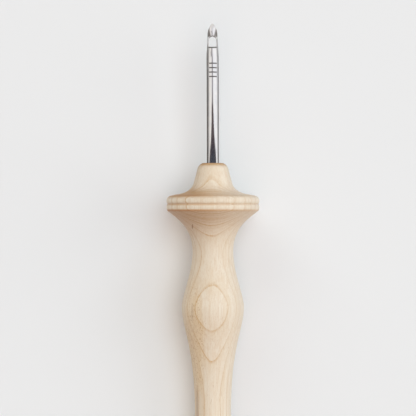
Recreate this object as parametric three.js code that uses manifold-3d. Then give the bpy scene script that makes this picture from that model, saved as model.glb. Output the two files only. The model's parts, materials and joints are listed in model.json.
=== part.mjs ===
// A punch needle for loop pile: a slotted steel needle bonded into a turned maple handle.
// Millimetres. The tool is modelled along Y with its point at +Y and its yarn slot facing down,
// and is then laid on a table, where its collar and its butt carry it.

import * as THREE from "three";
import { mergeVertices } from "three/addons/utils/BufferGeometryUtils.js";
import Module from "manifold-3d";

// Needle tube
const TUBE_RADIUS = 2.0;
const TUBE_WALL = 0.4;
const TUBE_SLOT_WIDTH = 2.2;
const TUBE_END_INSET = 0.5; // how far the tube stops short of the butt face

// Needle point, each length measured along the tool
const EXPOSED_LENGTH = 44.2; // nose face to the very point
const TAPER_LENGTH = 9.2; // from the full tube to the shoulder of the point
const SHOULDER_RADIUS = 1.59;
const POINT_LENGTH = 3.0; // from the shoulder, where the outline turns in, to the very point
const TIP_HALF_WIDTH = 0.42; // where the point turns blunt
const TIP_LENGTH = 0.25; // of the blunt end
const POINT_BEND = 0.6; // how far the tube's top bends down over the point
const SCOOP_LENGTH = 7.0; // the slanting cut that opens the underside
const SCOOP_END = 0.75; // how far above the axis that cut leaves the point
const EYE_WIDTH = 2.4;
const EYE_LENGTH = 3.25;
const EYE_ARCH = 0.8; // height of the eye's pointed end
const EYE_CORNER = 0.3;
const EYE_TO_POINT = 4.05;

// Handle bore and slot
const BOND_GAP = 0.15; // adhesive between the tube and the bore
const HANDLE_SLOT_WIDTH = 2.6;
const SLOT_LIP = 0.35; // the slot's eased edges

// Handle, in the order it is turned, from the nose face to the butt
const NOSE_FACE_RADIUS = 3.35;
const NOSE_EDGE_RADIUS = 4.95;
const NOSE_EDGE_LENGTH = 1.7;
const NOSE_ROOT_RADIUS = 6.07;
const NOSE_CONE_LENGTH = 4.3;
const FLARE_LENGTH = 4.0;
const FLANGE_INNER_RADIUS = 12.0;
const FLANGE_LENGTH = 0.3; // the nearly flat face round the nose
const COLLAR_RADIUS = 14.8;
const SHOULDER_DROP = 1.5; // how far the flange's edge lies below the collar's radius
const UPPER_BEAD_LENGTH = 2.3;
const GROOVE_WIDTH = 0.7;
const GROOVE_DEPTH = 0.7;
const LOWER_BEAD_LENGTH = 1.75;
const CONE_RADIUS = 14.5; // where the hollow under the collar starts
const CONE_LENGTH = 12.95;
const NECK_RADIUS = 6.52;
const NECK_TO_BULGE = 17.7;
const BULGE_RADIUS = 9.9;
const BULGE_TO_WAIST = 33.8;
const WAIST_RADIUS = 5.8;
const WAIST_TO_SWELL = 25;
const SWELL_RADIUS = 7.6;
const BUTT_LENGTH = 10.5;
const BUTT_FACE_RADIUS = 3.6;

// Facets
const HANDLE_FACETS = 48;
const BORE_FACETS = 16;
const TUBE_FACETS = 24;
const CURVE_STEPS = 7;

const wood = new THREE.MeshStandardMaterial({ color: 0xe5d4bb, roughness: 0.55, metalness: 0 });
const steel = new THREE.MeshStandardMaterial({ color: 0xc8c8cc, roughness: 0.18, metalness: 1 });

const wasm = await Module();
wasm.setup();

function toSolid(geometry) {
  const bare = geometry.index ? geometry.toNonIndexed() : geometry.clone();
  bare.deleteAttribute("normal");
  bare.deleteAttribute("uv");
  const merged = mergeVertices(bare, 1e-4);
  return new wasm.Manifold(
    new wasm.Mesh({
      numProp: 3,
      vertProperties: new Float32Array(merged.attributes.position.array),
      triVerts: new Uint32Array(merged.index.array),
    }),
  );
}

function toGeometry(solid) {
  const { vertProperties, triVerts } = solid.getMesh();
  const geometry = new THREE.BufferGeometry();
  geometry.setAttribute("position", new THREE.BufferAttribute(vertProperties, 3));
  geometry.setIndex(new THREE.BufferAttribute(triVerts, 1));
  geometry.computeVertexNormals();
  return geometry;
}

// The handle's cross-section, open underneath: round outside, over the slot's eased edge and up
// its side, round the bore and out again along the slot's other side. Points are (x, z).
function slottedRing({ outer, inner, slot, lip, outerFacets, innerFacets }) {
  const outerGap = Math.asin((slot / 2 + lip) / outer);
  const innerGap = Math.asin(slot / 2 / inner);
  const wallTop = Math.sqrt(outer ** 2 - (slot / 2) ** 2) - lip;
  const arc = (radius, gap, facets) =>
    Array.from({ length: facets + 1 }, (_, i) => {
      const turn = -Math.PI / 2 + gap + (i / facets) * 2 * (Math.PI - gap);
      return new THREE.Vector2(radius * Math.cos(turn), radius * Math.sin(turn));
    });
  return [
    ...arc(outer, outerGap, outerFacets),
    new THREE.Vector2(-slot / 2, -wallTop),
    ...arc(inner, innerGap, innerFacets).reverse(),
    new THREE.Vector2(slot / 2, -wallTop),
  ];
}

// A closed body through matching outlines, given in order of falling y.
function loft(sections) {
  const count = sections[0].outline.length;
  const positions = sections.flatMap(({ y, outline }) => outline.flatMap((p) => [p.x, y, p.y]));
  const index = [];
  for (let ring = 0; ring < sections.length - 1; ring++) {
    for (let i = 0; i < count; i++) {
      const a = ring * count + i;
      const b = ring * count + ((i + 1) % count);
      index.push(a, b, b + count, a, b + count, a + count);
    }
  }
  const first = THREE.ShapeUtils.triangulateShape(sections[0].outline, []);
  const last = THREE.ShapeUtils.triangulateShape(sections.at(-1).outline, []);
  const lastRing = (sections.length - 1) * count;
  first.forEach(([a, b, c]) => index.push(a, c, b));
  last.forEach(([a, b, c]) => index.push(lastRing + a, lastRing + b, lastRing + c));
  const geometry = new THREE.BufferGeometry();
  geometry.setAttribute("position", new THREE.Float32BufferAttribute(positions, 3));
  geometry.setIndex(index);
  return geometry;
}

// Extrudes a shape drawn in (x, y) through the tool's height, from z = low to z = high.
function throughHeight(shape, low, high) {
  const geometry = new THREE.ExtrudeGeometry(shape, {
    depth: high - low,
    bevelEnabled: false,
    curveSegments: CURVE_STEPS,
  });
  return toSolid(geometry.translate(0, 0, low));
}

// Extrudes a shape drawn in (y, z) right across the tool.
function acrossWidth(shape, halfWidth) {
  const geometry = new THREE.ExtrudeGeometry(shape, {
    depth: 2 * halfWidth,
    bevelEnabled: false,
    curveSegments: 2 * CURVE_STEPS,
  });
  geometry.translate(0, 0, -halfWidth);
  // shape x to tool y, shape y to tool z, depth to tool x
  geometry.applyMatrix4(new THREE.Matrix4().set(0, 0, 1, 0, 1, 0, 0, 0, 0, 1, 0, 0, 0, 0, 0, 1));
  return toSolid(geometry);
}

// The handle's profile as (distance behind the nose face, radius).
function handleProfile() {
  const profile = new THREE.Path();
  const here = () => profile.currentPoint;
  const line = (length, radius) => profile.lineTo(here().x + length, radius);
  // runs parallel to the axis at both ends, each for the given share of the length
  const flow = (length, radius, leave, arrive) => {
    const { x, y } = here();
    const leaveX = x + leave * length;
    const arriveX = x + (1 - arrive) * length;
    profile.bezierCurveTo(leaveX, y, arriveX, radius, x + length, radius);
  };
  profile.moveTo(0, NOSE_FACE_RADIUS);

  const edgeRise = NOSE_EDGE_RADIUS - NOSE_FACE_RADIUS;
  profile.quadraticCurveTo(
    0.3 * NOSE_EDGE_LENGTH,
    NOSE_FACE_RADIUS + 0.75 * edgeRise,
    NOSE_EDGE_LENGTH,
    NOSE_EDGE_RADIUS,
  );
  line(NOSE_CONE_LENGTH, NOSE_ROOT_RADIUS);

  const coneSlope = (NOSE_ROOT_RADIUS - NOSE_EDGE_RADIUS) / NOSE_CONE_LENGTH;
  const root = here().x;
  profile.bezierCurveTo(
    root + 0.8 * FLARE_LENGTH,
    NOSE_ROOT_RADIUS + 0.8 * FLARE_LENGTH * coneSlope,
    root + 0.91 * FLARE_LENGTH,
    NOSE_ROOT_RADIUS + 0.62 * (FLANGE_INNER_RADIUS - NOSE_ROOT_RADIUS),
    root + FLARE_LENGTH,
    FLANGE_INNER_RADIUS,
  );
  line(FLANGE_LENGTH, COLLAR_RADIUS - SHOULDER_DROP);

  collarProfile(profile);

  const cone = here().x;
  profile.bezierCurveTo(
    cone + 0.14 * CONE_LENGTH,
    CONE_RADIUS - 0.24 * (CONE_RADIUS - NECK_RADIUS),
    cone + 0.36 * CONE_LENGTH,
    NECK_RADIUS,
    cone + CONE_LENGTH,
    NECK_RADIUS,
  );
  flow(NECK_TO_BULGE, BULGE_RADIUS, 0.37, 0.21);
  flow(BULGE_TO_WAIST, WAIST_RADIUS, 0.21, 0.65);
  flow(WAIST_TO_SWELL, SWELL_RADIUS, 0.4, 0.36);

  const butt = here().x + BUTT_LENGTH;
  profile.bezierCurveTo(
    butt - 0.45 * BUTT_LENGTH,
    SWELL_RADIUS,
    butt,
    SWELL_RADIUS - 0.2 * (SWELL_RADIUS - BUTT_FACE_RADIUS),
    butt,
    BUTT_FACE_RADIUS,
  );
  return profile.getPoints(CURVE_STEPS);
}

// Two rounded beads with a groove between them.
function collarProfile(profile) {
  const start = profile.currentPoint.x;
  const groove = start + UPPER_BEAD_LENGTH;
  const grooveEdge = COLLAR_RADIUS - 0.35 * GROOVE_DEPTH;
  profile.bezierCurveTo(
    start + 0.1 * UPPER_BEAD_LENGTH,
    COLLAR_RADIUS,
    groove - 0.35 * UPPER_BEAD_LENGTH,
    COLLAR_RADIUS + 0.15 * GROOVE_DEPTH,
    groove,
    grooveEdge,
  );
  profile.lineTo(groove + GROOVE_WIDTH / 2, COLLAR_RADIUS - GROOVE_DEPTH);
  profile.lineTo(groove + GROOVE_WIDTH, grooveEdge);
  const lower = groove + GROOVE_WIDTH;
  profile.bezierCurveTo(
    lower + 0.3 * LOWER_BEAD_LENGTH,
    COLLAR_RADIUS + 0.15 * GROOVE_DEPTH,
    lower + 0.8 * LOWER_BEAD_LENGTH,
    COLLAR_RADIUS,
    lower + LOWER_BEAD_LENGTH,
    CONE_RADIUS,
  );
}

function makeHandle(profile) {
  const sections = profile.map(({ x, y: radius }) => ({
    y: -x,
    outline: slottedRing({
      outer: radius,
      inner: TUBE_RADIUS + BOND_GAP,
      slot: HANDLE_SLOT_WIDTH,
      lip: SLOT_LIP,
      outerFacets: HANDLE_FACETS,
      innerFacets: BORE_FACETS,
    }),
  }));
  const handle = new THREE.Mesh(toGeometry(toSolid(loft(sections))), wood);
  handle.name = "handle";
  return handle;
}

// One side of the point's outline seen from above, from the shoulder to the blunt end, as points
// (distance from the middle, y).
function pointOutline() {
  const shoulder = EXPOSED_LENGTH - POINT_LENGTH;
  const curve = new THREE.Path();
  curve.moveTo(SHOULDER_RADIUS, shoulder);
  curve.bezierCurveTo(
    0.96 * SHOULDER_RADIUS,
    shoulder + 0.32 * POINT_LENGTH,
    0.5 * SHOULDER_RADIUS + 0.5 * TIP_HALF_WIDTH,
    shoulder + 0.63 * POINT_LENGTH,
    TIP_HALF_WIDTH,
    EXPOSED_LENGTH - TIP_LENGTH,
  );
  curve.quadraticCurveTo(0.5 * TIP_HALF_WIDTH, EXPOSED_LENGTH, 0.25 * TIP_HALF_WIDTH, EXPOSED_LENGTH);
  return curve.getPoints(CURVE_STEPS);
}

// The tube's outside from its end in the handle to its point, as circles with the height of their
// top. Past the shoulder the tube keeps its radius and bends down.
function needleCircles(handleLength) {
  const shoulder = EXPOSED_LENGTH - POINT_LENGTH;
  const taper = shoulder - TAPER_LENGTH;
  const tube = new THREE.Path();
  tube.moveTo(TUBE_RADIUS, TUBE_END_INSET - handleLength);
  tube.lineTo(TUBE_RADIUS, taper);
  tube.bezierCurveTo(
    TUBE_RADIUS,
    taper + 0.4 * TAPER_LENGTH,
    SHOULDER_RADIUS,
    taper + 0.52 * TAPER_LENGTH,
    SHOULDER_RADIUS,
    shoulder,
  );
  const straight = tube.getPoints(CURVE_STEPS).map(({ x: radius, y }) => ({ y, radius, top: radius }));
  const bending = Array.from({ length: CURVE_STEPS }, (_, i) => {
    const share = (i + 1) / CURVE_STEPS;
    const top = SHOULDER_RADIUS - POINT_BEND * share ** 2;
    return { y: shoulder + share * POINT_LENGTH, radius: SHOULDER_RADIUS, top };
  });
  return [...straight, ...bending];
}

// A closed body through circles across the tool, given in order of rising y.
function tubeThrough(circles) {
  const sections = circles.map(({ y, radius, top }) => ({
    y,
    outline: Array.from({ length: TUBE_FACETS }, (_, i) => {
      const turn = ((i + 0.5) / TUBE_FACETS) * 2 * Math.PI;
      return new THREE.Vector2(radius * Math.cos(turn), top - radius + radius * Math.sin(turn));
    }),
  }));
  return toSolid(loft(sections.reverse()));
}

// What the point keeps of the tube, seen from above.
function pointTrim(handleLength) {
  const right = pointOutline();
  const left = right.map(({ x, y }) => new THREE.Vector2(-x, y)).reverse();
  const corner = (side, y) => new THREE.Vector2(side * 2 * TUBE_RADIUS, y);
  const shoulder = right[0].y;
  const shape = new THREE.Shape([
    corner(-1, -handleLength),
    corner(1, -handleLength),
    corner(1, shoulder),
    ...right,
    ...left,
    corner(-1, shoulder),
  ]);
  return throughHeight(shape, -2 * TUBE_RADIUS, 2 * TUBE_RADIUS);
}

// The yarn slot along the underside, from the tube's end in the handle out into the scoop.
function slotCutter(handleLength) {
  const half = TUBE_SLOT_WIDTH / 2;
  const end = EXPOSED_LENGTH - 0.4 * SCOOP_LENGTH;
  const shape = new THREE.Shape();
  shape.moveTo(-half, -handleLength);
  shape.lineTo(half, -handleLength);
  shape.lineTo(half, end);
  shape.lineTo(-half, end);
  return throughHeight(shape, -2 * TUBE_RADIUS, 0);
}

// The slanting scoop that opens the underside from the slot out to the point.
function scoopCutter() {
  const below = -2 * TUBE_RADIUS;
  const start = EXPOSED_LENGTH - SCOOP_LENGTH;
  const end = EXPOSED_LENGTH + TUBE_RADIUS;
  const shape = new THREE.Shape();
  shape.moveTo(start, below);
  shape.lineTo(end, below);
  shape.lineTo(end, SCOOP_END);
  shape.lineTo(EXPOSED_LENGTH, SCOOP_END);
  shape.quadraticCurveTo(start + 0.57 * SCOOP_LENGTH, -0.25 * TUBE_RADIUS, start, -TUBE_RADIUS);
  return acrossWidth(shape, 2 * TUBE_RADIUS);
}

// The eye goes through the back wall only: square towards the handle, arched towards the point.
function eyeCutter() {
  const top = EXPOSED_LENGTH - EYE_TO_POINT;
  const bottom = top - EYE_LENGTH;
  const half = EYE_WIDTH / 2;
  const shape = new THREE.Shape();
  shape.moveTo(-half + EYE_CORNER, bottom);
  shape.lineTo(half - EYE_CORNER, bottom);
  shape.quadraticCurveTo(half, bottom, half, bottom + EYE_CORNER);
  shape.lineTo(half, top - EYE_ARCH);
  shape.quadraticCurveTo(0.8 * half, top - 0.4 * EYE_ARCH, 0, top);
  shape.quadraticCurveTo(-0.8 * half, top - 0.4 * EYE_ARCH, -half, top - EYE_ARCH);
  shape.lineTo(-half, bottom + EYE_CORNER);
  shape.quadraticCurveTo(-half, bottom, -half + EYE_CORNER, bottom);
  return throughHeight(shape, 0, 2 * TUBE_RADIUS);
}

function makeNeedle(handleLength) {
  const circles = needleCircles(handleLength);
  const bore = circles.map(({ y, radius, top }) => ({
    y,
    radius: radius - TUBE_WALL,
    top: top - TUBE_WALL,
  }));
  bore[0].y -= TUBE_WALL; // out through both ends
  bore.at(-1).y += TUBE_WALL;
  const trimmed = tubeThrough(circles).intersect(pointTrim(handleLength));
  const open = [tubeThrough(bore), slotCutter(handleLength), scoopCutter(), eyeCutter()].reduce(
    (rest, cutter) => rest.subtract(cutter),
    trimmed,
  );
  const needle = new THREE.Mesh(toGeometry(open), steel);
  needle.name = "needle";
  return needle;
}

// How far the point end lifts when the tool lies on the edges of its slot. It touches the table at
// two stations, one on each side of the neck: those whose joining line passes lowest under the neck.
function restTilt(profile) {
  const halfMouth = HANDLE_SLOT_WIDTH / 2 + SLOT_LIP;
  const under = profile.map((p) => new THREE.Vector2(p.x, Math.sqrt(p.y ** 2 - halfMouth ** 2)));
  const neck = profile.at(-1).x - BUTT_LENGTH - WAIST_TO_SWELL - BULGE_TO_WAIST - NECK_TO_BULGE;
  let lowest = 0;
  let tilt = 0;
  for (const front of under.filter((p) => p.x < neck)) {
    for (const back of under.filter((p) => p.x > neck)) {
      const slope = (front.y - back.y) / (back.x - front.x);
      const depth = front.y - slope * (neck - front.x);
      if (depth > lowest) {
        lowest = depth;
        tilt = Math.atan(slope);
      }
    }
  }
  return tilt;
}

const profile = handleProfile();
const tool = new THREE.Group();
tool.add(makeHandle(profile), makeNeedle(profile.at(-1).x));
tool.rotation.x = restTilt(profile);
tool.updateMatrixWorld(true);

// The origin is on the table, under the middle of the tool.
const extent = new THREE.Box3().setFromObject(tool, true);
const middle = extent.getCenter(new THREE.Vector3());
tool.position.set(-middle.x, -middle.y, -extent.min.z);

const part = new THREE.Group();
part.add(tool);

export default part;
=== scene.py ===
"""A punch needle on a pale table, seen square to its axis, with its yarn slot facing down.

Sizes are in millimetres in the tool's own axes: x across, y towards the point from the nose
face, z up from the middle of the tube. The meshes are written in metres in the frame's axes.
"""

import json
import math

import bmesh
import bpy
import numpy as np
from mathutils import Matrix, Vector


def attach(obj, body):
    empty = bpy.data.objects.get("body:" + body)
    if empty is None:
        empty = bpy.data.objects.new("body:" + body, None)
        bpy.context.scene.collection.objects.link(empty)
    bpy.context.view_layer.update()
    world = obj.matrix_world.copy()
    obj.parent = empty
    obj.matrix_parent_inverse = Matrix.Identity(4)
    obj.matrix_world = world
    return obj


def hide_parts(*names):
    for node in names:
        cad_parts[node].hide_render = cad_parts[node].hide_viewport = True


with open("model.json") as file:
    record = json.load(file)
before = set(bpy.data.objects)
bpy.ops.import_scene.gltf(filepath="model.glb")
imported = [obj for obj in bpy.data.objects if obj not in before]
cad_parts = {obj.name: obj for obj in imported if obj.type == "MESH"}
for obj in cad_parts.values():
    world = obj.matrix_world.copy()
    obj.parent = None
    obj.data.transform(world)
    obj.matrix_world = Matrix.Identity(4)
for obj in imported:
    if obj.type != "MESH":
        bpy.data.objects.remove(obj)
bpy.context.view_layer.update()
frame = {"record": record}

MM = 0.001
SKIN = 0.06  # keeps the handle's smooth surface inside its faceted solid
WELD = 0.0005  # points closer than this are one point
TINY = 1e-6  # the least width that a place across is divided by
OTHER_SIDE = np.array([-1, 1])  # times flat points, gives their mirror image

# Needle tube
TUBE_RADIUS = 2.0
TUBE_WALL = 0.4
TUBE_SLOT_WIDTH = 2.2
TUBE_END_INSET = 0.5  # how far the tube stops short of the butt face
BELOW_TUBE = -2 * TUBE_RADIUS  # a height that none of it reaches down to

# Needle point, each length measured along the tool
EXPOSED_LENGTH = 44.2  # from the nose face to the very point
TAPER_LENGTH = 9.2  # from the full tube to the shoulder of the point
SHOULDER_RADIUS = 1.59
POINT_LENGTH = 3.0  # from the shoulder, where the outline turns in, to the very point
TIP_HALF_WIDTH = 0.42  # where the point turns blunt
TIP_LENGTH = 0.25  # of the blunt end
POINT_BEND = 0.6  # how far the tube bends down over the point
POINT_LEAN = 0.17  # how far this one's point stands to the left
SCOOP_LENGTH = 7.0  # of the slanting cut that opens the underside
SCOOP_END = 0.75  # how far above the axis that cut leaves the point
SHOULDER = EXPOSED_LENGTH - POINT_LENGTH
OUTLINE_START = SHOULDER - 0.4  # where the point's outline begins to hold the tube in
OUTLINE_FULL = SHOULDER + 0.2  # and where it holds it in fully

# Eye
EYE_WIDTH = 2.4
EYE_LENGTH = 3.25
EYE_ARCH = 0.8  # length of its arched end
EYE_CORNER = 0.3
EYE_TO_POINT = 4.05
EYE_TOP = EXPOSED_LENGTH - EYE_TO_POINT
EYE_BOTTOM = EYE_TOP - EYE_LENGTH
EYE_MIDDLE = EYE_TOP - 0.55 * EYE_LENGTH
FLARED_SLOT_WIDTH = 1.01 * EYE_WIDTH  # of the tube's slot beside the eye, so that it clears it
SLOT_FLARE_END = EYE_BOTTOM - 0.4
SLOT_FLARE_START = SLOT_FLARE_END - 3.0

# Rim of the eye: its width and its drop are the sides', then what the arch and the sill add
RIM_WIDTH = (0.36, 0.6, 0.14)
RIM_DROP = (0.18, 0.2, 0.12)
RIM_CURVE = ((0, 0), (0.5, 0), (0.7, 0.1), (1, 1))  # shares of its width and of its drop
RIM_STEPS = 12
RIM_REACH = 0.965  # share of the tube's radius that its outer edge may reach
RIM_APPROACH = (0.3, 0.6, 0.85)  # shares of the way to it from the border of the patch
ARCH_REFLECTION = (0.5, 0.7)  # shares of its width where the arch's painted dark reflection starts and is full
SILL_REFLECTION = (0.65, 0.8)  # and where the sill's begins to end and has ended

# Handle bore and slot
BOND_GAP = 0.15  # adhesive between the tube and the bore
BORE_RADIUS = TUBE_RADIUS + BOND_GAP
HANDLE_SLOT_WIDTH = 2.6
SLOT_LIP = 0.35  # the slot's eased edges

# Handle, in the order it is turned, from the nose face to the butt
NOSE_FACE_RADIUS = 3.35
NOSE_EDGE_RADIUS = 4.95
NOSE_EDGE_LENGTH = 1.7
NOSE_ROOT_RADIUS = 6.07
NOSE_CONE_LENGTH = 4.3
FLARE_LENGTH = 4.0
FLANGE_INNER_RADIUS = 12.0
FLANGE_LENGTH = 0.3  # of the nearly flat face round the nose
COLLAR_RADIUS = 14.8
SHOULDER_DROP = 1.5  # how far the flange's edge lies inside the collar's radius
UPPER_BEAD_LENGTH = 2.3
BEAD_ROUND = 0.1  # how far the curves that round the beads aim past the collar's radius
GROOVE_WIDTH = 0.7
GROOVE_DEPTH = 0.32
GROOVE_EDGE_DROP = 0.35 * GROOVE_DEPTH
GROOVE_SIDE = 0.15  # how far from its middle, and below its edge, the curve of each side aims
GROOVE_FLOOR = 0.1  # how far from its middle the curve of its floor aims
LOWER_BEAD_LENGTH = 1.75
CONE_RADIUS = 14.5  # where the hollow cone under the collar starts
CONE_LENGTH = 12.95
NECK_RADIUS = 6.52
NECK_TO_BULGE = 17.7
BULGE_RADIUS = 9.9
BULGE_TO_WAIST = 33.8
WAIST_RADIUS = 5.8
WAIST_TO_SWELL = 25.0
SWELL_RADIUS = 7.6
BUTT_LENGTH = 10.5
BUTT_FACE_RADIUS = 3.6

# Meshes
HANDLE_FACETS = 160  # round the outside, and round the bore
LIP_STEPS = 5
SLOT_WALL_STEPS = 4
HANDLE_CREASE = 50  # degrees between faces, from which their edge is a sharp one
NEEDLE_CREASE = 40
NEEDLE_COLUMNS = 104  # round the tube, from one edge of its opening to the other
EYE_COLUMNS = 42  # how many of them the patch round the eye spans
OUTER_PATCH = 80  # degrees from the top that the patch reaches on the outside
INNER_PATCH = 90
PATCH_SHARE = 0.8  # of the way to the opening, which is as far as the patch may reach
PATCH_MARGIN = 0.7  # how far it reaches behind the eye
OUTLINE_POWER = 16  # the higher it is, the sharper the point's outline cuts the tube
SCOOP_STEPS = 60
EYE_STEPS = 12  # along each of the parts of its outline

# Mounts
NOSE_MOUNT_RADIUS = 2.75  # how far above the axis the record puts the mount on the nose face

# Photograph
PHOTO_WIDTH = 416  # pixels
MM_PER_PIXEL = 0.3175
AXIS_PIXEL_X = 212.9
NOSE_PIXEL_Y = 163.2
CAMERA_DISTANCE = 600.0
SENSOR_WIDTH = 36.0


def tool_axes():
    """The tool's axes in the frame, from the mount on the nose face."""
    mount = next(m for m in frame["record"]["mounts"] if m["name"] == "nose_face")
    along = Vector(mount["axis"]).normalized()
    across = Vector((1, 0, 0))
    up = across.cross(along)
    nose = Vector(mount["pos_m"]) - up * NOSE_MOUNT_RADIUS * MM
    turn = Matrix((across, along, up)).transposed().to_4x4()
    return Matrix.Translation(nose) @ turn


TOOL = tool_axes()


def to_frame(points):
    """Tool millimetres to frame metres, for an array of points."""
    matrix = np.array(TOOL)
    return (points * MM) @ matrix[:3, :3].T + matrix[:3, 3]


def add_object(name, data):
    """Puts a mesh, a lamp or a camera into the scene."""
    made = bpy.data.objects.new(name, data)
    bpy.context.collection.objects.link(made)
    return made


# Curves


def bezier(controls, steps):
    """Points along a Bezier curve of any degree, with its start and its end."""
    controls = np.array(controls, dtype=float)
    degree = len(controls) - 1
    t = np.linspace(0, 1, steps + 1)[:, None]
    weights = [math.comb(degree, k) * t**k * (1 - t) ** (degree - k) for k in range(degree + 1)]
    return sum(weight * control for weight, control in zip(weights, controls))


def ease(value, start, full):
    """A smooth step from 0 at start to 1 at full."""
    share = np.clip((value - start) / (full - start), 0, 1)
    return share**2 * (3 - 2 * share)


class Profile:
    """An outline as points (distance along the tool, distance from its axis)."""

    def __init__(self, along, radius):
        self.points = np.array([[along, radius]])

    @property
    def end(self):
        return self.points[-1]

    def curve(self, *controls, steps):
        made = bezier([self.end, *controls], steps)
        self.points = np.vstack([self.points, made[1:]])

    def sweep(self, length, radius, *controls, steps):
        """A curve, its controls as shares of its length and of its change of radius."""
        start = self.end
        change = np.array([length, radius - start[1]])
        self.curve(*(start + change * share for share in (*controls, (1, 1))), steps=steps)


def handle_profile():
    """The handle's outline, from the edge of its nose face to the edge of its butt face."""
    p = Profile(0, NOSE_FACE_RADIUS)
    p.sweep(NOSE_EDGE_LENGTH, NOSE_EDGE_RADIUS, (0.3, 0.75), steps=14)
    p.sweep(NOSE_CONE_LENGTH, NOSE_ROOT_RADIUS, steps=10)
    p.sweep(FLARE_LENGTH, FLANGE_INNER_RADIUS, (0.8, 0.14), (0.91, 0.62), steps=26)
    p.sweep(FLANGE_LENGTH, COLLAR_RADIUS - SHOULDER_DROP, steps=4)
    add_collar(p)
    p.sweep(CONE_LENGTH, NECK_RADIUS, (0.14, 0.24), (0.36, 1), steps=48)
    p.sweep(NECK_TO_BULGE, BULGE_RADIUS, (0.37, 0), (0.79, 1), steps=36)
    p.sweep(BULGE_TO_WAIST, WAIST_RADIUS, (0.21, 0), (0.35, 1), steps=36)
    p.sweep(WAIST_TO_SWELL, SWELL_RADIUS, (0.4, 0), (0.64, 1), steps=36)
    p.sweep(BUTT_LENGTH - SKIN, BUTT_FACE_RADIUS, (0.55, 0), (1, 0.2), steps=30)
    return p.points


def add_collar(p):
    """Two rounded beads with a groove between them."""
    upper = p.end[0]
    groove = upper + UPPER_BEAD_LENGTH
    middle = groove + GROOVE_WIDTH / 2
    lower = groove + GROOVE_WIDTH
    crest = COLLAR_RADIUS + BEAD_ROUND
    edge = COLLAR_RADIUS - GROOVE_EDGE_DROP
    floor = COLLAR_RADIUS - GROOVE_DEPTH
    side = edge - GROOVE_SIDE
    p.curve(
        (upper + 0.1 * UPPER_BEAD_LENGTH, COLLAR_RADIUS),
        (groove - 0.35 * UPPER_BEAD_LENGTH, crest),
        (groove, edge),
        steps=22,
    )
    p.curve((middle - GROOVE_SIDE, side), (middle - GROOVE_FLOOR, floor), (middle, floor), steps=5)
    p.curve((middle + GROOVE_FLOOR, floor), (middle + GROOVE_SIDE, side), (lower, edge), steps=5)
    p.curve(
        (lower + 0.3 * LOWER_BEAD_LENGTH, crest),
        (lower + 0.8 * LOWER_BEAD_LENGTH, COLLAR_RADIUS),
        (lower + LOWER_BEAD_LENGTH, CONE_RADIUS),
        steps=18,
    )


HANDLE = handle_profile()
HANDLE_LENGTH = HANDLE[-1, 0] + SKIN


def needle_profile():
    """The tube's outside as points (y, radius), from its end in the handle to its shoulder."""
    end = TUBE_END_INSET - HANDLE_LENGTH
    p = Profile(end, TUBE_RADIUS)
    p.sweep(-end, TUBE_RADIUS, steps=12)
    p.sweep(SHOULDER - TAPER_LENGTH, TUBE_RADIUS, steps=20)
    p.sweep(TAPER_LENGTH, SHOULDER_RADIUS, (0.4, 0), (0.52, 1), steps=44)
    return p.points


def point_outline():
    """One side of the point seen from above, as points (y, half width)."""
    p = Profile(SHOULDER, SHOULDER_RADIUS)
    p.curve(
        (SHOULDER + 0.32 * POINT_LENGTH, 0.96 * SHOULDER_RADIUS),
        (SHOULDER + 0.63 * POINT_LENGTH, (SHOULDER_RADIUS + TIP_HALF_WIDTH) / 2),
        (EXPOSED_LENGTH - TIP_LENGTH, TIP_HALF_WIDTH),
        steps=40,
    )
    p.curve((EXPOSED_LENGTH, 0.62 * TIP_HALF_WIDTH), (EXPOSED_LENGTH, 0), steps=12)
    return p.points


NEEDLE = needle_profile()
OUTLINE = point_outline()


# Meshes


class Body:
    """Collects one mesh: its points in tool millimetres, a cut for each, and the faces on them.

    A point's cut goes from 0 to 1. On wood it says how squarely the surface crosses the grain,
    and on steel how much painted dark reflection covers the eye's rim.
    """

    def __init__(self):
        self.points = []
        self.cut = []
        self.faces = []

    def add(self, points, cut=0.0):
        """Adds an array of points and gives back their numbers in the same shape."""
        points = np.asarray(points, dtype=float)
        start = len(self.points)
        flat = points.reshape(-1, 3)
        self.points.extend(flat)
        self.cut.extend(np.broadcast_to(cut, points.shape[:-1]).reshape(-1))
        return np.arange(start, start + len(flat)).reshape(points.shape[:-1])

    def face(self, numbers, flip=False):
        self.faces.append([int(number) for number in (numbers[::-1] if flip else numbers)])

    def strip(self, first, second, flip=False):
        """Four-sided faces between two rows of numbers of equal length."""
        for corners in zip(first[:-1], first[1:], second[1:], second[:-1]):
            self.face(corners, flip)

    def sheet(self, rows, flip=False):
        """Strips between each row of numbers and the next."""
        for first, second in zip(rows[:-1], rows[1:]):
            self.strip(first, second, flip)

    def tube(self, rings):
        """A sheet whose rows each close into a ring."""
        self.sheet([np.append(ring, ring[0]) for ring in rings])

    def finish(self, name, material, crease_degrees):
        """Makes the object, with each point's place and cut as attributes for its material."""
        tool = np.array(self.points)
        mesh = bpy.data.meshes.new(name)
        mesh.from_pydata(to_frame(tool).tolist(), [], self.faces)
        mesh.validate()
        place = mesh.attributes.new("tool_mm", "FLOAT_VECTOR", "POINT")
        place.data.foreach_set("vector", tool.astype(np.float32).ravel())
        cut = mesh.attributes.new("cut", "FLOAT", "POINT")
        cut.data.foreach_set("value", np.array(self.cut, dtype=np.float32))
        welded = bmesh.new()
        welded.from_mesh(mesh)
        bmesh.ops.remove_doubles(welded, verts=welded.verts, dist=WELD * MM)
        welded.to_mesh(mesh)
        welded.free()
        mesh.shade_smooth()
        mesh.set_sharp_from_angle(angle=math.radians(crease_degrees))
        mesh.materials.append(material)
        return add_object(name, mesh)


# Handle


def open_circle(radius, half_gap):
    """Points round a circle that is open underneath, from the gap's right side over the top."""
    gap = math.asin(half_gap / radius)
    turn = -math.pi / 2 + np.linspace(gap, 2 * math.pi - gap, HANDLE_FACETS + 1)
    return radius * np.column_stack([np.cos(turn), np.sin(turn)])


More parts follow.
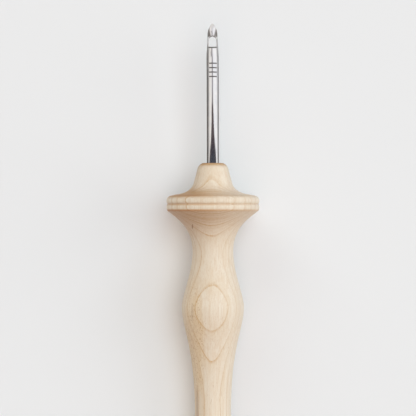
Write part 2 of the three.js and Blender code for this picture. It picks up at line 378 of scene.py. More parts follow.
def handle_section(radius):
    """One cut across the handle, as (x, z): the outside, one lip and wall, the bore, and back."""
    half = HANDLE_SLOT_WIDTH / 2
    outside = open_circle(radius, half + SLOT_LIP)
    bore = open_circle(BORE_RADIUS, half)[::-1]
    corner = -math.sqrt(radius**2 - half**2)
    lip_controls = [outside[-1], (-half, corner), (-half, corner + SLOT_LIP)]
    left_lip = bezier(lip_controls, LIP_STEPS)[1:]
    left_wall = bezier([left_lip[-1], bore[0]], SLOT_WALL_STEPS)[1:-1]
    right_wall = (left_wall * OTHER_SIDE)[::-1]
    right_lip = (left_lip * OTHER_SIDE)[::-1]
    return np.vstack([outside, left_lip, left_wall, bore, right_wall, right_lip])


def make_handle(material):
    slope = np.gradient(HANDLE[:, 1], HANDLE[:, 0])
    endwise = np.abs(slope) / np.hypot(1, slope)
    body = Body()
    rings = []
    for (station, radius), share in zip(HANDLE, endwise):
        section = handle_section(radius - SKIN)
        points = np.column_stack([section[:, 0], np.full(len(section), -station), section[:, 1]])
        cut = np.zeros(len(section))
        cut[: HANDLE_FACETS + 1] = share
        rings.append(body.add(points, cut))
    body.tube(rings)

    # The nose face and the butt face: a ring between outside and bore, and the slot's two lips
    bore_start = HANDLE_FACETS + LIP_STEPS + SLOT_WALL_STEPS
    bore_end = bore_start + HANDLE_FACETS
    for ring, flip in ((rings[0], False), (rings[-1], True)):
        body.strip(ring[: HANDLE_FACETS + 1], ring[bore_start : bore_end + 1][::-1], flip)
        body.face(ring[HANDLE_FACETS : bore_start + 1], flip)
        body.face(np.append(ring[bore_end:], ring[0]), flip)
    return body.finish("handle_turned", material, HANDLE_CREASE)


# Needle


def needle_radius(y, depth=0.0):
    """The tube's radius at y on its outside, or on its bore where depth is the wall."""
    return np.interp(y, NEEDLE[:, 0], NEEDLE[:, 1]) - depth


def half_width(y):
    """How far from the middle the point's outline lets the tube reach, and freely behind it."""
    outline = np.interp(y, OUTLINE[:, 0], OUTLINE[:, 1])
    return outline + np.interp(y, [OUTLINE_START, OUTLINE_FULL], [TUBE_WALL, 0])


def bend(y):
    """How far the middle of the tube has bent down at y."""
    return POINT_BEND * np.clip((y - SHOULDER) / POINT_LENGTH, 0, 1) ** 2


def scoop_height(y):
    """The height of the slanting cut that opens the underside, at y."""
    start = EXPOSED_LENGTH - SCOOP_LENGTH
    controls = [
        (start, -TUBE_RADIUS),
        (start + 0.57 * SCOOP_LENGTH, -0.25 * TUBE_RADIUS),
        (EXPOSED_LENGTH, SCOOP_END),
    ]
    curve = bezier(controls, SCOOP_STEPS)
    return np.interp(y, curve[:, 0], curve[:, 1], left=BELOW_TUBE)


def cut_height(y):
    """How low the wall reaches under the middle of the bent tube: to the scoop, or less."""
    bore = needle_radius(y, TUBE_WALL)
    shell = np.sqrt(np.maximum(bore**2 - half_width(y) ** 2, 0))
    return np.maximum(scoop_height(y) + bend(y), np.where(shell > 0, shell, BELOW_TUBE))


def wall_angle(y, depth):
    """How far round from the top a surface runs, either way, before the slot or the scoop."""
    radius = needle_radius(y, depth)
    widths = [TUBE_SLOT_WIDTH, FLARED_SLOT_WIDTH]
    slot_half = np.interp(y, [SLOT_FLARE_START, SLOT_FLARE_END], widths) / 2
    slot = math.pi - np.arcsin(np.clip(slot_half / radius, 0, 1))
    return np.minimum(slot, np.arccos(np.clip(cut_height(y) / radius, -1, 1)))


def tube_height(plan, depth=0.0):
    """The height of the tube's upper half over places seen from above."""
    return np.sqrt(np.maximum(needle_radius(plan[:, 1], depth) ** 2 - plan[:, 0] ** 2, 0))


class Wall:
    """The tube's outside or bore as a grid: rows across it, from its end to the point."""

    def __init__(self, body, y, depth, patch_degrees):
        middle = NEEDLE_COLUMNS / 2
        column = np.arange(NEEDLE_COLUMNS + 1) - middle
        knots = [-middle, -EYE_COLUMNS / 2, EYE_COLUMNS / 2, middle]
        last = wall_angle(y, depth)
        patch = np.minimum(math.radians(patch_degrees), PATCH_SHARE * last)
        turns = np.array([np.interp(column, knots, [-a, -b, b, a]) for a, b in zip(last, patch)])
        y = np.repeat(y[:, None], NEEDLE_COLUMNS + 1, axis=1)
        radius = needle_radius(y, depth)
        # the point's outline is a soft limit, so that its edge is a rounded one
        x = radius * np.sin(turns)
        past = np.abs(x / np.maximum(half_width(y), TINY)) ** OUTLINE_POWER
        x = x / (1 + past) ** (1 / OUTLINE_POWER)
        z = np.maximum(radius * np.cos(turns), cut_height(y)) - bend(y)
        self.points = np.stack([x, y, z], axis=-1)
        self.numbers = body.add(self.points)


def eye_outline():
    """The eye seen from above: square towards the handle, arched towards the point."""
    half = EYE_WIDTH / 2
    corner_y = EYE_BOTTOM + EYE_CORNER
    arch_y = EYE_TOP - EYE_ARCH
    sill = [(0, EYE_BOTTOM), (half - EYE_CORNER, EYE_BOTTOM)]
    corner = [(half - EYE_CORNER, EYE_BOTTOM), (half, EYE_BOTTOM), (half, corner_y)]
    side = [(half, corner_y), (half, arch_y)]
    arch = [(half, arch_y), (0.8 * half, EYE_TOP - 0.4 * EYE_ARCH), (0, EYE_TOP)]
    right = np.vstack([bezier(part, EYE_STEPS)[1:] for part in (sill, corner, side, arch)])
    left = right[-2::-1] * OTHER_SIDE
    return np.vstack([right, left, [(0, EYE_BOTTOM)]])


def on_outline(outline, centre, points):
    """For each point, where the ray to it from the centre crosses the outline."""
    ring = outline - centre
    bearing = np.arctan2(ring[:, 0], -ring[:, 1])
    order = np.argsort(bearing)
    reach = np.hypot(*ring.T)[order]
    rays = points - centre
    turn = np.arctan2(rays[:, 0], -rays[:, 1])
    distance = np.interp(turn, bearing[order], reach, period=2 * math.pi)
    return centre + distance[:, None] * rays / np.hypot(*rays.T)[:, None]


def patch_border(first, last, left, right):
    """The rows and the columns of the grid points round a patch, once round it."""
    corners = (
        [(first, column) for column in range(left, right)]
        + [(row, right) for row in range(first, last)]
        + [(last, column) for column in range(right, left, -1)]
        + [(row, left) for row in range(last, first, -1)]
    )
    return tuple(np.array(corners).T)


def add_eye(body, outer, inner, border):
    """Joins the borders of the patches in the two walls through the eye's eased rim."""
    outer_plan = outer.points[border][:, :2]
    inner_plan = inner.points[border][:, :2]
    centre = np.array([0, EYE_MIDDLE])
    edge = on_outline(eye_outline(), centre, outer_plan)
    away = (edge - centre) / np.hypot(*(edge - centre).T)[:, None]

    # How far each place on the edge belongs to the arch, and how far to the sill
    arch = ease(edge[:, 1], EYE_TOP - 1.2 * EYE_ARCH, EYE_TOP - 0.1 * EYE_ARCH)
    sill = np.interp(edge[:, 1], [EYE_BOTTOM, EYE_BOTTOM + EYE_CORNER], [1, 0])
    ends = np.maximum(arch, sill)
    width, drop = (
        side + arch * at_arch + sill * at_sill for side, at_arch, at_sill in (RIM_WIDTH, RIM_DROP)
    )

    # The side walls end in a level rounded rim. The arch and the sill follow the tube's round.
    eased = edge + away * width[:, None]
    reach = RIM_REACH * needle_radius(eased[:, 1])
    eased[:, 0] = np.clip(eased[:, 0], -reach, reach)
    level = tube_height(eased)
    rings = [outer.numbers[border]]
    for share in RIM_APPROACH:
        plan = outer_plan + share * (eased - outer_plan)
        rings.append(body.add(np.column_stack([plan, tube_height(plan)])))
    for across, down in bezier(RIM_CURVE, RIM_STEPS):
        plan = eased + across * (edge - eased)
        height = level + ends * (tube_height(plan) - level) - drop * down
        # On the arch and the sill, the cut carries a painted dark reflection
        cut = arch * np.interp(across, ARCH_REFLECTION, [0, 1])
        cut = np.maximum(cut, sill * np.interp(across, SILL_REFLECTION, [1, 0]))
        rings.append(body.add(np.column_stack([plan, height]), cut))
    for plan in (edge, (edge + inner_plan) / 2):
        rings.append(body.add(np.column_stack([plan, tube_height(plan, TUBE_WALL)])))
    rings.append(inner.numbers[border])
    body.tube(rings)


def make_needle(material):
    body = Body()
    y = np.append(NEEDLE[:, 0], OUTLINE[1:, 0])
    outer = Wall(body, y, 0, OUTER_PATCH)
    inner = Wall(body, y, TUBE_WALL, INNER_PATCH)

    # The two walls, but for the patch round the eye
    first = np.searchsorted(y, EYE_BOTTOM - PATCH_MARGIN)
    last = np.searchsorted(y, SHOULDER)
    left = (NEEDLE_COLUMNS - EYE_COLUMNS) // 2
    right = left + EYE_COLUMNS
    for numbers, flip in ((outer.numbers, False), (inner.numbers, True)):
        beside = numbers[first : last + 1]
        body.sheet(numbers[: first + 1], flip)
        body.sheet(numbers[last:], flip)
        body.sheet(beside[:, : left + 1], flip)
        body.sheet(beside[:, right:], flip)
    add_eye(body, outer, inner, patch_border(first, last, left, right))

    # The cut faces of slot and scoop: in from the outside at its height, then up to the bore
    for side, flip in ((0, True), (-1, False)):
        outside, bore = outer.points[:, side], inner.points[:, side]
        ledge = body.add(np.column_stack([bore[:, :2], outside[:, 2]]))
        body.strip(outer.numbers[:, side], ledge, flip)
        body.strip(ledge, inner.numbers[:, side], flip)
    body.strip(outer.numbers[0], inner.numbers[0], True)
    for point in body.points:
        point[0] -= POINT_LEAN * max(point[1] / EXPOSED_LENGTH, 0) ** 2
    return body.finish("needle_tube", material, NEEDLE_CREASE)


# Materials


class Nodes:
    """A node tree with short calls. A value may be a number, a colour or a socket."""

    def __init__(self, tree):
        self.tree = tree

    def put(self, socket, value):
        if isinstance(value, bpy.types.NodeSocket):
            self.tree.links.new(value, socket)
        else:
            socket.default_value = value

    def make(self, kind, inputs=(), **settings):
        made = self.tree.nodes.new(kind)
        for name, value in settings.items():
            setattr(made, name, value)
        for key, value in dict(inputs).items():
            self.put(made.inputs[key], value)
        return made

    def node(self, kind, inputs=(), output=0, **settings):
        return self.make(kind, inputs, **settings).outputs[output]

    def attribute(self, name, output):
        return self.node("ShaderNodeAttribute", output=output, attribute_name=name)

    def split(self, vector):
        return self.make("ShaderNodeSeparateXYZ", {0: vector}).outputs

    def math(self, operation, *values):
        return self.node("ShaderNodeMath", enumerate(values), operation=operation)

    def product(self, first, *others):
        for value in others:
            first = self.math("MULTIPLY", first, value)
        return first

    def total(self, first, *parts):
        """The first value and, of each part (value, share), that share of its value."""
        for value, share in parts:
            first = self.math("MULTIPLY_ADD", value, share, first)
        return first

    def distance(self, value, other):
        return self.math("ABSOLUTE", self.math("SUBTRACT", value, other))

    def count(self, value, start, size):
        """How many times size the value lies past start."""
        return self.math("DIVIDE", self.math("SUBTRACT", value, start), size)

    def noise(self, place, across, along, detail, roughness):
        """Noise that changes so many times a millimetre across the tool and along it."""
        scale = {0: place, 1: (across, along, across)}
        stretched = self.node("ShaderNodeVectorMath", scale, operation="MULTIPLY")
        inputs = {"Vector": stretched, "Scale": 1.0, "Detail": detail, "Roughness": roughness}
        return self.node("ShaderNodeTexNoise", inputs)

    def fade(self, value, start, end, at_start=0.0, at_end=1.0, kind="SMOOTHSTEP"):
        """Goes smoothly from at_start to at_end while the value goes from start to end."""
        inputs = {0: value, 1: start, 2: end, 3: at_start, 4: at_end}
        return self.node("ShaderNodeMapRange", inputs, interpolation_type=kind)

    def band(self, value, start, full, end, gone):
        """Rises from 0 at start to 1 at full, and falls from 1 at end to 0 at gone."""
        return self.product(self.fade(value, start, full), self.fade(value, end, gone, 1.0, 0.0))

    def mix(self, factor, first, second, blend="MIX"):
        settings = {"data_type": "RGBA", "blend_type": blend}
        return self.node("ShaderNodeMix", {0: factor, 6: first, 7: second}, 2, **settings)


class Material(Nodes):
    """A material with one principled surface."""

    def __init__(self, name):
        self.material = bpy.data.materials.new(name)
        self.material.use_nodes = True
        super().__init__(self.material.node_tree)

    def bump(self, height, distance_mm):
        inputs = {"Strength": 1.0, "Distance": distance_mm * MM, "Height": height}
        return self.node("ShaderNodeBump", inputs)

    def finish(self, inputs):
        surface = self.tree.nodes["Principled BSDF"]
        for name, value in inputs.items():
            self.put(surface.inputs[name], value)
        return self.material


def colour(red, green, blue):
    """A linear colour from the 0 to 255 values of an ordinary picture."""

    def linear(value):
        share = value / 255
        return share / 12.92 if share <= 0.04045 else ((share + 0.055) / 1.055) ** 2.4

    return (linear(red), linear(green), linear(blue), 1.0)


# Wood

# Its noises: changes a millimetre across the tool and along it, detail, roughness
WOOD_NOISE = {
    "sway": (0.11, 0.03, 2.0, 0.5),
    "ripple": (0.7, 0.14, 3.0, 0.5),
    "fading": (0.25, 0.05, 2.0, 0.5),
    "breaks": (2.6, 1.3, 2.0, 0.5),
    "streak": (1.1, 0.035, 3.0, 0.65),
    "fibre": (2.4, 0.055, 4.0, 0.6),
    "thread": (8.0, 0.2, 2.0, 0.6),
    "pore": (5.5, 0.42, 1.0, 0.5),
    "fleck": (3.6, 1.4, 2.0, 0.5),
    "turning": (0.02, 3.2, 2.0, 0.5),
}

# Growth rings cross the handle almost level. One is followed by its height at the nose, its
# rise and its fall along the handle, and the others lie at a steady spacing from it.
RING_HEIGHT = 5.2
RING_RISE = 0.117
RING_FALL = 0.0009
RING_LEAN = 0.053
RING_CURVE = 1 / 200
RING_SWAY = 0.5
RING_RIPPLE = 0.14
RING_SPACING = 2.15
INNER_SPACING = 1.4  # from one ring further in, the spacing is closer
FINE_RING_SPACING = 0.83

# Where in a year's growth its dark line starts, is full, begins to end, and is gone
RING_BAND = (0.86, 0.965, 0.985, 1.0)
FINE_RING_BAND = (0.45, 0.9, 0.9, 1.0)

# Each fade from here on is its start, its end, and its values at both unless they are 0 and 1.
LATE_GROWTH = (0.35, 0.98)  # through the year
RING_FADING = (0.36, 0.6, 0.6, 1.0)  # over the fading noise
RING_BREAKS = (0.35, 0.62, 0.5, 1.0)  # over the noise of breaks
RING_ACROSS = (-1.0, 5.0, 1.0, 0.55)  # over x
RING_AT_NOSE = (3.0, 9.0, 0.55, 1.0)  # along the handle
FINE_RINGS_SHOW = (0.35, 0.8)  # over how squarely the surface crosses the grain
FLECKS_SHOW = (0.54, 0.68)  # over the fleck noise
PORES_SHOW = (0.66, 0.76)  # over the pore noise

# The wood's tones, and the share of what lies under it that each covers
EARLY_WOOD = colour(230, 218, 200)
LATE_WOOD = colour(226, 212, 191)
THREADS = (
    ("streak", (0.45, 0.66), 0.33, colour(219, 195, 163)),
    ("fibre", (0.38, 0.68), 0.4, colour(216, 191, 161)),
    ("thread", (0.45, 0.8), 0.35, colour(208, 180, 146)),
    ("pore", PORES_SHOW, 0.4, colour(186, 148, 108)),
)
FLECK_TONE = colour(184, 142, 98)
FLECK_SHARE = 0.08
LEFT_SHADE_FLECK_SHARE = 0.55  # more of it within the painted shade on the left
RING_TONE = colour(200, 158, 104)
RING_SHARE = 0.8
FINE_RING_TONE = colour(190, 148, 102)
FINE_RING_SHARE = 0.38

# Natural marks in the wood: x, station, half width, half length, share
MARKS = (
    (-6.45, 20.0, 0.24, 0.9, 0.75),
    (-4.95, 80.0, 0.45, 10.0, 0.45),
    (-6.5, 47.0, 0.45, 3.5, 0.22),
)
MARK_TONE = colour(158, 116, 82)
LEFT_SHADE = (-5.9, 57.0, 3.6, 21.0)  # painted shade that darkens the shaded left side, measured likewise
LEFT_SHADE_TINT = colour(253, 246, 233)
PATCH_FADE = (0.2, 1.2, 1.0, 0.0)  # over the square of the way out from such a place's middle
PATCH_RIPPLE = 1.2
PATCH_SIDE = (0.0, 1.0)  # over z, which keeps it to the upper side

# Painted shade as brown bands at the collar's edges and in its groove, darker on the shaded left:
# station, share
COLLAR_SHADE = ((10.3, 0.4), (13.1, 0.45), (14.95, 1.0))
COLLAR_SHADE_REACH = (0.1, 0.5)  # to either side, where it begins to fade and is gone
COLLAR_SHADE_ACROSS = (-12.0, 12.0, 1.0, 0.45)  # over x
COLLAR_SHADE_TINT = colour(230, 194, 152)

# End grain is darker, and painted shade darkens it further, more so on the shaded left of this piece.
END_POWER = 1.6
END_SHADE_ACROSS = (-10.0, 10.0, 1.15, 0.3)  # over x
END_GRAIN_SHADE_TINT = colour(210, 179, 146)
NOSE_RIM = (0.0, 1.3, 0.9, 0.0)  # along the handle
NOSE_RIM_TINT = colour(222, 190, 140)

# The wood's finish
WOOD_ROUGHNESS = 0.4
THREAD_ROUGHNESS = 0.14
PORE_RELIEF = -0.8
TURNING_RELIEF = 0.5
WOOD_RELIEF_MM = 0.02


def wood_material():
    s = Material("maple")
    place = s.attribute("tool_mm", "Vector")
    endwise = s.attribute("cut", "Fac")
    x, y, z = s.split(place)
    station = s.product(y, -1.0)
    noise = {name: s.noise(place, *values) for name, values in WOOD_NOISE.items()}
    sway = s.math("SUBTRACT", noise["sway"], 0.5)
    ripple = s.math("SUBTRACT", noise["ripple"], 0.5)

    def patch(centre_x, centre_station, half_width, half_length):
        """1 within a ragged ellipse on the upper side, falling to 0 outside it."""
        across = s.count(x, centre_x, half_width)
        along = s.count(station, centre_station, half_length)
        way_out = s.total(s.product(across, across), (along, along), (ripple, PATCH_RIPPLE))
        return s.product(s.fade(way_out, *PATCH_FADE), s.fade(z, *PATCH_SIDE))

    height = s.total(
        z,
        (x, -RING_LEAN),
        (s.product(x, x), RING_CURVE),
        (station, -RING_RISE),
        (s.product(station, station), RING_FALL),
        (sway, RING_SWAY),
        (ripple, RING_RIPPLE),
    )
    outer = s.count(height, RING_HEIGHT, RING_SPACING)
    inner = s.count(height, RING_HEIGHT - RING_SPACING + INNER_SPACING, INNER_SPACING)
    year = s.math("FRACT", s.math("MINIMUM", outer, inner))
    fine_year = s.math("FRACT", s.math("DIVIDE", height, FINE_RING_SPACING))
    breaks = s.fade(noise["breaks"], *RING_BREAKS)
    rings = s.product(
        s.band(year, *RING_BAND),
        s.fade(noise["fading"], *RING_FADING),
        breaks,
        s.fade(x, *RING_ACROSS),
        s.fade(station, *RING_AT_NOSE),
        RING_SHARE,
    )
    fine_rings = s.product(
        s.band(fine_year, *FINE_RING_BAND),
        breaks,
        s.fade(endwise, *FINE_RINGS_SHOW),
        FINE_RING_SHARE,
    )

    tone = s.mix(s.fade(year, *LATE_GROWTH), EARLY_WOOD, LATE_WOOD)
    for name, shows, share, thread_tone in THREADS:
        tone = s.mix(s.fade(noise[name], *shows, 0.0, share), tone, thread_tone)
    # Painted shade darkens the shaded left side, with more flecks there
    left_shade_patch = patch(*LEFT_SHADE)
    tone = s.mix(left_shade_patch, tone, LEFT_SHADE_TINT, "MULTIPLY")
    fleck_share = s.total(FLECK_SHARE, (left_shade_patch, LEFT_SHADE_FLECK_SHARE))
    tone = s.mix(s.product(s.fade(noise["fleck"], *FLECKS_SHOW), fleck_share), tone, FLECK_TONE)
    tone = s.mix(rings, tone, RING_TONE)
    tone = s.mix(fine_rings, tone, FINE_RING_TONE)
    for *place_and_size, share in MARKS:
        tone = s.mix(s.product(patch(*place_and_size), share), tone, MARK_TONE)
    # Painted shade at the collar's edges and in its groove, darker on the shaded left
    shade_leftward = s.fade(x, *COLLAR_SHADE_ACROSS)
    for edge, share in COLLAR_SHADE:
        collar_shade = s.fade(s.distance(station, edge), *COLLAR_SHADE_REACH, share, 0.0)
        tone = s.mix(s.product(collar_shade, shade_leftward), tone, COLLAR_SHADE_TINT, "MULTIPLY")
    # End grain darkens the wood, and painted shade adds to it, most on the shaded left
    ends = s.product(s.math("POWER", endwise, END_POWER), s.fade(x, *END_SHADE_ACROSS))
    tone = s.mix(ends, tone, END_GRAIN_SHADE_TINT, "MULTIPLY")
    tone = s.mix(s.fade(station, *NOSE_RIM), tone, NOSE_RIM_TINT, "MULTIPLY")

    pores = s.fade(noise["pore"], *PORES_SHOW)
    relief = s.total(noise["thread"], (pores, PORE_RELIEF), (noise["turning"], TURNING_RELIEF))
    return s.finish(
        {
            "Base Color": tone,
            "Roughness": s.total(WOOD_ROUGHNESS, (noise["thread"], THREAD_ROUGHNESS)),
            "IOR": 1.45,
            "Coat Weight": 0.12,
            "Coat Roughness": 0.3,
            "Normal": s.bump(relief, WOOD_RELIEF_MM),
        }
    )


# Steel

# Its noises, given as the wood's are
POLISH = (9.0, 0.25, 3.0, 0.6)
CLOUD = (0.8, 0.3, 2.0, 0.5)
CLOUD_SHOWS = (0.3, 0.7)  # over the cloud noise

# The needle's mark is a short ladder of plain strokes.
STROKES = 4
STROKE_START = 27.4
STROKE_SPACING = 1.4
STROKE_HALF_WIDTH = 0.19
STROKE_HALF_LENGTH = 1.2
STROKE_EDGE = 0.05  # half the width over which a stroke's long edges fade
STROKE_END = 0.06  # likewise of its ends
STROKE_SIDE = (0.2, 0.8)  # over z, which keeps them to the upper side

# The flanks of the point are ground, which leaves them less bright, and they carry a painted dark
# reflection.
FLANK = (0.486, 0.986)  # from the middle at the shoulder: where it starts and is full
FLANK_SPREAD = 0.28  # how much farther out it starts, for each millimetre along
FLANK_BEHIND = (-1.5, -0.8)  # from the shoulder: where it starts and is full

# The steel's tones, and the share of what lies under it that each covers
STEEL_TONES = ((0.66, 0.65, 0.64, 1), (0.6, 0.6, 0.61, 1))
STROKE_TONE = (0.1, 0.09, 0.085, 1)
STROKE_SHARE = 0.9
FLANK_REFLECTION_TONE = (0.14, 0.12, 0.105, 1)
FLANK_REFLECTION_SHARE = 0.8
# painted dark reflection on the eye's arch and sill
EYE_RIM_REFLECTION_TONE = (0.07, 0.06, 0.055, 1)
EYE_RIM_REFLECTION_SHARE = 0.85

# The steel's finish
STEEL_ROUGHNESS = 0.025
POLISH_ROUGHNESS = 0.05
STROKE_ROUGHNESS = 0.3
FLANK_ROUGHNESS = 0.12
STROKE_RELIEF = -3.0
STEEL_RELIEF_MM = 0.0015


def steel_material():
    s = Material("stainless")
    place = s.attribute("tool_mm", "Vector")
    cut = s.attribute("cut", "Fac")
    x, y, z = s.split(place)

    def within(value, limit, softness):
        return s.fade(value, limit - softness, limit + softness, 1.0, 0.0)

    step = s.count(y, STROKE_START, STROKE_SPACING)
    nearest = s.math("MINIMUM", s.math("MAXIMUM", s.math("ROUND", step), 0.0), STROKES - 1.0)
    off = s.product(s.distance(step, nearest), STROKE_SPACING)
    strokes = s.product(
        within(off, STROKE_HALF_WIDTH, STROKE_EDGE),
        within(s.distance(x, 0.0), STROKE_HALF_LENGTH, STROKE_END),
        s.fade(z, *STROKE_SIDE),
    )
    past_shoulder = s.math("SUBTRACT", y, SHOULDER)
    flank = s.total(s.distance(x, -POINT_LEAN), (past_shoulder, -FLANK_SPREAD))
    ground_dark_flank = s.product(s.fade(flank, *FLANK), s.fade(past_shoulder, *FLANK_BEHIND))

    polish = s.noise(place, *POLISH)
    tone = s.mix(s.fade(s.noise(place, *CLOUD), *CLOUD_SHOWS), *STEEL_TONES)
    for cover, share, cover_tone in (
        (strokes, STROKE_SHARE, STROKE_TONE),
        # painted dark reflection on the ground flanks
        (ground_dark_flank, FLANK_REFLECTION_SHARE, FLANK_REFLECTION_TONE),
        # painted dark reflection on the eye's rim
        (cut, EYE_RIM_REFLECTION_SHARE, EYE_RIM_REFLECTION_TONE),
    ):
        tone = s.mix(s.product(cover, share), tone, cover_tone)
    roughness = s.total(
        STEEL_ROUGHNESS,
        (polish, POLISH_ROUGHNESS),
        (strokes, STROKE_ROUGHNESS),
        (ground_dark_flank, FLANK_ROUGHNESS),
    )
    relief = s.total(polish, (strokes, STROKE_RELIEF))
    return s.finish(
        {
            "Base Color": tone,
            "Metallic": 1.0,
            "Roughness": roughness,
            "Normal": s.bump(relief, STEEL_RELIEF_MM),
        }
    )


def matt_material(name, tone):
    """A surface that sends no highlights back, so that it doesn't show the cards."""
    return Material(name).finish({"Base Color": tone, "Roughness": 1.0, "Specular IOR Level": 0.0})


def glow_material(name, tone):
    """A surface that gives off one tone, whatever light falls on it."""
    material = bpy.data.materials.new(name)
    material.use_nodes = True
    s = Nodes(material.node_tree)
    s.tree.nodes.clear()
    glow = s.node("ShaderNodeEmission", {"Color": tone})
    s.make("ShaderNodeOutputMaterial", {"Surface": glow})
    return material


# Stage

FLOOR_REACH = 4000.0  # from the middle to each side
FLOOR_TONE = colour(232, 232, 232)

# Glowing cards that only reflections see, painted reflections: a dark figure behind the camera,
# and painted shade on the table close beside the needle. The figure's outline is (along the
# tool, left, right), in tool millimetres, and the table shade's reach is across and along, in
# frame millimetres.
FIGURE_HEIGHT = 300.0
FIGURE = (
    ("figure_low", ((3, -640, 640), (11.5, -640, 640)), (0.07, 0.075, 0.1, 1)),
    ("figure_middle", ((11.5, -640, 640), (16, -640, 640)), (0.085, 0.076, 0.09, 1)),
    ("figure_high", ((16, -640, 640), (19.4, -630, 640)), (0.11, 0.085, 0.093, 1)),
    ("figure_top", ((19.4, -225, 200), (26, -142, 94), (35, -115, 38)), (0.165, 0.13, 0.135, 1)),
    (
        "figure_crown",
        ((35, -115, 38), (43, -60, 14), (60, -80, 8), (84, -70, 5)),
        (0.42, 0.39, 0.4, 1),
    ),
    ("figure_far", ((84, -190, 0), (120, -250, -40)), (0.6, 0.57, 0.57, 1)),
)
TABLE_SHADE_HEIGHT = 0.2
TABLE_SHADE = (
    ("table_shade_left", (-80, 0), (36, 79), (0.12, 0.1, 0.087, 1)),
    ("table_shade_right", (0, 52), (36, 79), (0.3, 0.29, 0.3, 1)),
)


def stage_card(name, corners, material):
    """A flat card through corners in frame metres."""
    mesh = bpy.data.meshes.new(name)
    mesh.from_pydata([tuple(corner) for corner in corners], [], [list(range(len(corners)))])
    mesh.materials.append(material)
    card = add_object(name, mesh)
    return card


def mirrored_card(name, corners, tone):
    """A glowing card that only reflections see."""
    card = stage_card(name, corners, glow_material(name, tone))
    for ray in ("camera", "diffuse", "transmission", "volume_scatter", "shadow"):
        setattr(card, f"visible_{ray}", False)


def level_rectangle(left, right, near, far, height):
    """The corners of a level rectangle in frame metres, from frame millimetres."""
    corners = ((left, near), (right, near), (right, far), (left, far))
    return [(x * MM, y * MM, height * MM) for x, y in corners]


def make_stage():
    floor = level_rectangle(-FLOOR_REACH, FLOOR_REACH, -FLOOR_REACH, FLOOR_REACH, 0.0)
    stage_card("floor", floor, matt_material("pale_floor", FLOOR_TONE))
    for name, outline, tone in FIGURE:
        right = [(right, y, FIGURE_HEIGHT) for y, left, right in outline]
        left = [(left, y, FIGURE_HEIGHT) for y, left, right in reversed(outline)]
        mirrored_card(name, to_frame(np.array(right + left, dtype=float)), tone)
    # painted shade on the table beside the needle, seen only in reflections
    for name, across, along, tone in TABLE_SHADE:
        mirrored_card(name, level_rectangle(*across, *along, TABLE_SHADE_HEIGHT), tone)


# Light

# The lamps: the direction of each, and what a white card on the table would send back of its
# light. They stand far off, so that they light the whole floor alike.
LAMPS = {
    "overhead": ((0.25, 0.1, 0.95), (0.367, 0.435, 0.473)),
    "back": ((0.0, -0.4, 0.9), (0.213, 0.146, 0.116)),
    "front": ((0.35, 0.85, 0.44), (0.055, 0.078, 0.111)),
    "right": ((0.9, 0.0, 0.44), (0.137, 0.142, 0.142)),
    "left": ((-0.45, 0.75, 0.5), (0.167, 0.181, 0.174)),
}
LAMP_DISTANCE = 20.0  # metres
LAMP_SIZE = 16.0

# What the surroundings send to the wood and the floor, and what the camera sees of them
AMBIENT = (0.225, 0.185, 0.155, 1)
BACKDROP = (0.82, 0.82, 0.82, 1)

# What polished steel mirrors of them at each angle across the tool, from the left horizon over
# the top to the right one, and where it looks ahead along the tool or behind
MIRRORED = (
    (-90, (0.17, 0.15, 0.13, 1)),
    (-80, (0.2, 0.18, 0.16, 1)),
    (-70, (0.84, 0.81, 0.78, 1)),
    (-34, (1.0, 0.96, 0.92, 1)),
    (-16, (0.78, 0.76, 0.77, 1)),
    (0, (0.7, 0.69, 0.73, 1)),
    (10, (1.0, 1.0, 1.03, 1)),
    (77, (1.05, 1.05, 1.06, 1)),
    (84, (0.56, 0.55, 0.56, 1)),
    (90, (0.5, 0.5, 0.5, 1)),
)
MIRRORED_AHEAD = (0.8, 0.78, 0.76, 1)
MIRRORED_BEHIND = (1.3, 1.3, 1.3, 1)
MIRRORED_SLANT = (0.3, 0.6)  # how far along it looks, where those two start and are full
MIRRORED_LEVEL = 1.3


def make_lamps():
    for name, (direction, level) in LAMPS.items():
        aim = Vector(direction).normalized()
        data = bpy.data.lights.new(name, "AREA")
        data.shape = "DISK"
        data.size = LAMP_SIZE
        data.energy = max(level) * math.pi**2 * LAMP_DISTANCE**2 / aim.z
        data.color = [share / max(level) for share in level]
        lamp = add_object(name, data)
        lamp.location = aim * LAMP_DISTANCE
        lamp.rotation_euler = aim.to_track_quat("Z", "Y").to_euler()
        lamp.visible_glossy = False


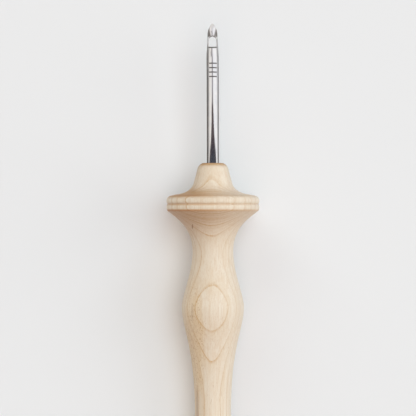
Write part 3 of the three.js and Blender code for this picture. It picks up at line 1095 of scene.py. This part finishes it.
def mirrored_tone(s):
    """What polished steel mirrors in each direction."""
    x, y, z = s.split(s.node("ShaderNodeTexCoord", output="Generated"))
    share = s.fade(s.math("ARCTAN2", x, z), -math.pi / 2, math.pi / 2, kind="LINEAR")
    ramp = s.make("ShaderNodeValToRGB", {0: share})
    stops = ramp.color_ramp.elements  # it begins with a stop at each horizon
    stops[0].color = MIRRORED[0][1]
    stops[1].color = MIRRORED[-1][1]
    for degrees, tone in MIRRORED[1:-1]:
        stops.new((degrees + 90) / 180).color = tone
    start, full = MIRRORED_SLANT
    tone = s.mix(s.fade(y, start, full), ramp.outputs[0], MIRRORED_AHEAD)
    return s.mix(s.fade(y, -start, -full), tone, MIRRORED_BEHIND)


def make_world():
    world = bpy.data.worlds.new("studio")
    bpy.context.scene.world = world
    world.use_nodes = True
    s = Nodes(world.node_tree)
    s.tree.nodes.clear()
    mirrored = s.node("ShaderNodeBackground", {0: mirrored_tone(s), 1: MIRRORED_LEVEL})
    ambient = s.node("ShaderNodeBackground", {0: AMBIENT})
    backdrop = s.node("ShaderNodeBackground", {0: BACKDROP})
    ray = s.make("ShaderNodeLightPath").outputs
    mirroring = s.math("MAXIMUM", ray["Is Glossy Ray"], ray["Is Transmission Ray"])
    light = s.node("ShaderNodeMixShader", {0: mirroring, 1: ambient, 2: mirrored})
    light = s.node("ShaderNodeMixShader", {0: ray["Is Camera Ray"], 1: light, 2: backdrop})
    s.make("ShaderNodeOutputWorld", {0: light})


def make_camera():
    """Square to the tool's axis, at the scale that the photo has at the height of that axis."""
    centre_x = (PHOTO_WIDTH / 2 - AXIS_PIXEL_X) * MM_PER_PIXEL
    centre_y = (NOSE_PIXEL_Y - PHOTO_WIDTH / 2) * MM_PER_PIXEL
    data = bpy.data.cameras.new("photo_camera")
    data.sensor_width = SENSOR_WIDTH
    data.lens = SENSOR_WIDTH * CAMERA_DISTANCE / (PHOTO_WIDTH * MM_PER_PIXEL)
    data.clip_start = 0.01
    data.clip_end = 20
    camera = add_object("photo_camera", data)
    camera.matrix_world = TOOL @ Matrix.Translation(Vector((centre_x, centre_y, CAMERA_DISTANCE)) * MM)
    bpy.context.scene.camera = camera


make_camera()
make_lamps()
make_world()
make_stage()

handle = make_handle(wood_material())
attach(handle, "root")
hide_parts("handle")

needle = make_needle(steel_material())
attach(needle, "root")
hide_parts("needle")

bpy.context.scene.view_settings.view_transform = "Standard"
